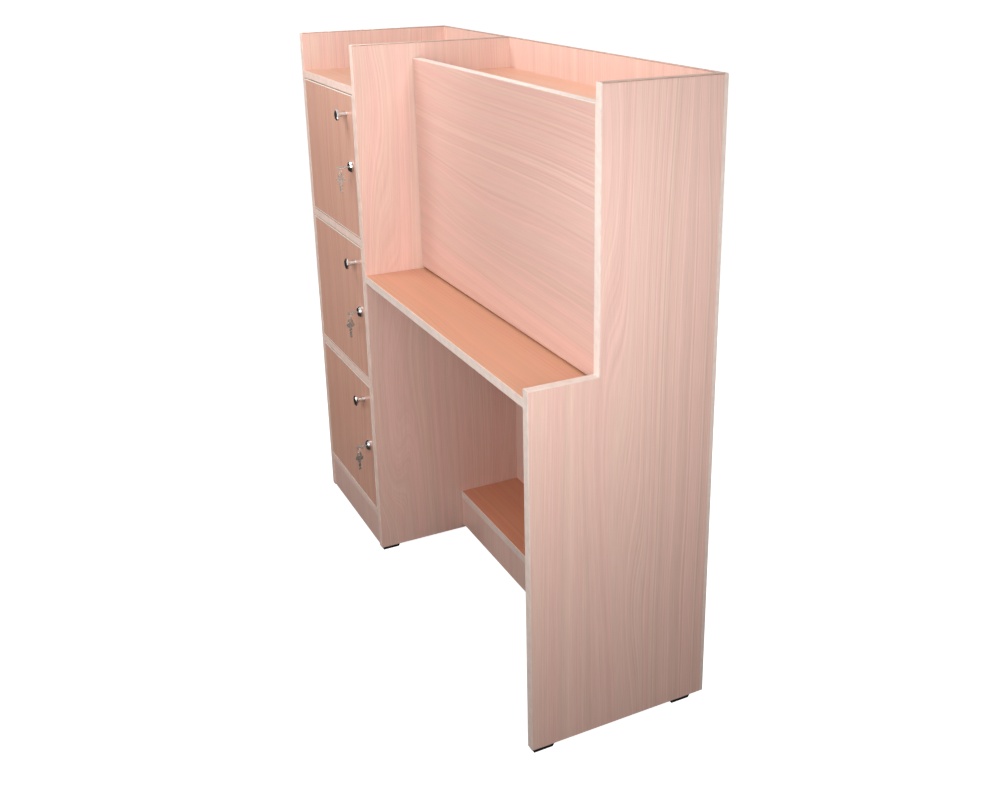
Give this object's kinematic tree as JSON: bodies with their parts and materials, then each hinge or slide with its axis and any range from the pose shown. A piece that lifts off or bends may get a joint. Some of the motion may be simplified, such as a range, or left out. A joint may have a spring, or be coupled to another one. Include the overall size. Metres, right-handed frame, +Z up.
{
  "type": "study desk",
  "caption": "Board study desk with a fall-front writing flap over a shallow ledge, a knee space with a foot shelf and a column of locking locker doors beside it.",
  "frame": {"origin": "on the floor under the middle of the whole desk, keys included", "axes": "+X to the right when facing the front, +Y to the back, +Z up"},
  "size_m": [1.28, 0.4404, 1.282],
  "materials": {
    "laminate": "satin",
    "edge_band": "satin",
    "brown_band": "satin",
    "black_plastic": "satin",
    "white_plastic": "satin",
    "beech": "raw",
    "steel": "zinc plated",
    "chrome": "polished",
    "nickel": "nickel plated"
  },
  "bodies": {
    "carcass": {"left_side_panel": "laminate", "divider_panel": "laminate", "right_side_panel": "laminate", "back_panel": "laminate", "locker_top_shelf": "laminate", "locker_upper_shelf": "laminate", "locker_lower_shelf": "laminate", "locker_bottom_shelf": "laminate", "locker_plinth": "laminate", "desktop": "laminate", "hutch_shelf": "laminate", "foot_shelf": "laminate", "toe_panel": "laminate", "locker_edge_bands": "edge_band", "desk_edge_bands": "edge_band", "glide_feet": "black_plastic", "joint_dowels": "beech", "cam_fittings": "steel", "pivot_bushes": "white_plastic", "lock_strikes": "steel", "top_edge_bands": "brown_band", "fixing_screws": "steel", "flap_catches": "white_plastic"},
    "flap": {"flap_panel": "laminate", "flap_edge_bands": "edge_band", "flap_pivot_pins": "steel", "flap_catch_plates": "steel"},
    "upper_door": {"upper_door_panel": "laminate", "upper_door_edge_bands": "edge_band", "upper_door_pivot_pins": "steel", "upper_door_knob": "chrome", "upper_door_fasteners": "steel", "upper_lock_housing": "chrome"},
    "upper_lock": {"upper_lock_plug": "chrome", "upper_lock_cam": "steel"},
    "upper_key": {"upper_lock_key": "nickel"},
    "upper_ring": {"upper_key_ring": "nickel"},
    "upper_spare": {"upper_spare_key": "nickel"},
    "middle_door": {"middle_door_panel": "laminate", "middle_door_edge_bands": "edge_band", "middle_door_pivot_pins": "steel", "middle_door_knob": "chrome", "middle_door_fasteners": "steel", "middle_lock_housing": "chrome"},
    "middle_lock": {"middle_lock_plug": "chrome", "middle_lock_cam": "steel"},
    "middle_key": {"middle_lock_key": "nickel"},
    "middle_ring": {"middle_key_ring": "nickel"},
    "middle_spare": {"middle_spare_key": "nickel"},
    "lower_door": {"lower_door_panel": "laminate", "lower_door_edge_bands": "edge_band", "lower_door_pivot_pins": "steel", "lower_door_knob": "chrome", "lower_door_fasteners": "steel", "lower_lock_housing": "chrome"},
    "lower_lock": {"lower_lock_plug": "chrome", "lower_lock_cam": "steel"},
    "lower_key": {"lower_lock_key": "nickel"},
    "lower_ring": {"lower_key_ring": "nickel"},
    "lower_spare": {"lower_spare_key": "nickel"}
  },
  "joints": [
    {"name": "flap_fall", "type": "hinge", "parent": "carcass", "child": "flap", "pos_m": [0, -0.0258, 0.7535], "axis": [1, 0, 0], "range_deg": [0, 90]},
    {"name": "upper_door_swing", "type": "hinge", "parent": "carcass", "child": "upper_door", "pos_m": [-0.613, -0.1738, 1], "axis": [0, 0, -1], "range_deg": [0, 100]},
    {"name": "upper_lock_turn", "type": "hinge", "parent": "upper_door", "child": "upper_lock", "pos_m": [-0.271, -0.1798, 1], "axis": [0, 1, 0], "range_deg": [0, 90]},
    {"name": "upper_key_slide", "type": "slide", "parent": "upper_lock", "child": "upper_key", "axis": [0, -1, 0], "range_m": [0, 0.018]},
    {"name": "upper_ring_hang", "type": "hinge", "parent": "upper_key", "child": "upper_ring", "pos_m": [-0.26771, -0.2102, 0.9987], "axis": [0, 1, 0], "range_deg": [-90, 0]},
    {"name": "upper_spare_swing", "type": "hinge", "parent": "upper_ring", "child": "upper_spare", "pos_m": [-0.26641, -0.2102, 0.98142], "axis": [1, 0, 0], "range_deg": [-20, 20]},
    {"name": "middle_door_swing", "type": "hinge", "parent": "carcass", "child": "middle_door", "pos_m": [-0.613, -0.1738, 0.64], "axis": [0, 0, -1], "range_deg": [0, 100]},
    {"name": "middle_lock_turn", "type": "hinge", "parent": "middle_door", "child": "middle_lock", "pos_m": [-0.271, -0.1798, 0.64], "axis": [0, 1, 0], "range_deg": [0, 90]},
    {"name": "middle_key_slide", "type": "slide", "parent": "middle_lock", "child": "middle_key", "axis": [0, -1, 0], "range_m": [0, 0.018]},
    {"name": "middle_ring_hang", "type": "hinge", "parent": "middle_key", "child": "middle_ring", "pos_m": [-0.26771, -0.2102, 0.6387], "axis": [0, 1, 0], "range_deg": [-90, 0]},
    {"name": "middle_spare_swing", "type": "hinge", "parent": "middle_ring", "child": "middle_spare", "pos_m": [-0.26641, -0.2102, 0.62142], "axis": [1, 0, 0], "range_deg": [-20, 20]},
    {"name": "lower_door_swing", "type": "hinge", "parent": "carcass", "child": "lower_door", "pos_m": [-0.613, -0.1738, 0.28], "axis": [0, 0, -1], "range_deg": [0, 100]},
    {"name": "lower_lock_turn", "type": "hinge", "parent": "lower_door", "child": "lower_lock", "pos_m": [-0.271, -0.1798, 0.28], "axis": [0, 1, 0], "range_deg": [0, 90]},
    {"name": "lower_key_slide", "type": "slide", "parent": "lower_lock", "child": "lower_key", "axis": [0, -1, 0], "range_m": [0, 0.018]},
    {"name": "lower_ring_hang", "type": "hinge", "parent": "lower_key", "child": "lower_ring", "pos_m": [-0.26771, -0.2102, 0.2787], "axis": [0, 1, 0], "range_deg": [-90, 0]},
    {"name": "lower_spare_swing", "type": "hinge", "parent": "lower_ring", "child": "lower_spare", "pos_m": [-0.26641, -0.2102, 0.26142], "axis": [1, 0, 0], "range_deg": [-20, 20]}
  ],
  "couplings": [
    {"joint": "upper_ring_hang", "follows": "upper_lock_turn", "ratio": -1},
    {"joint": "middle_ring_hang", "follows": "middle_lock_turn", "ratio": -1},
    {"joint": "lower_ring_hang", "follows": "lower_lock_turn", "ratio": -1}
  ]
}
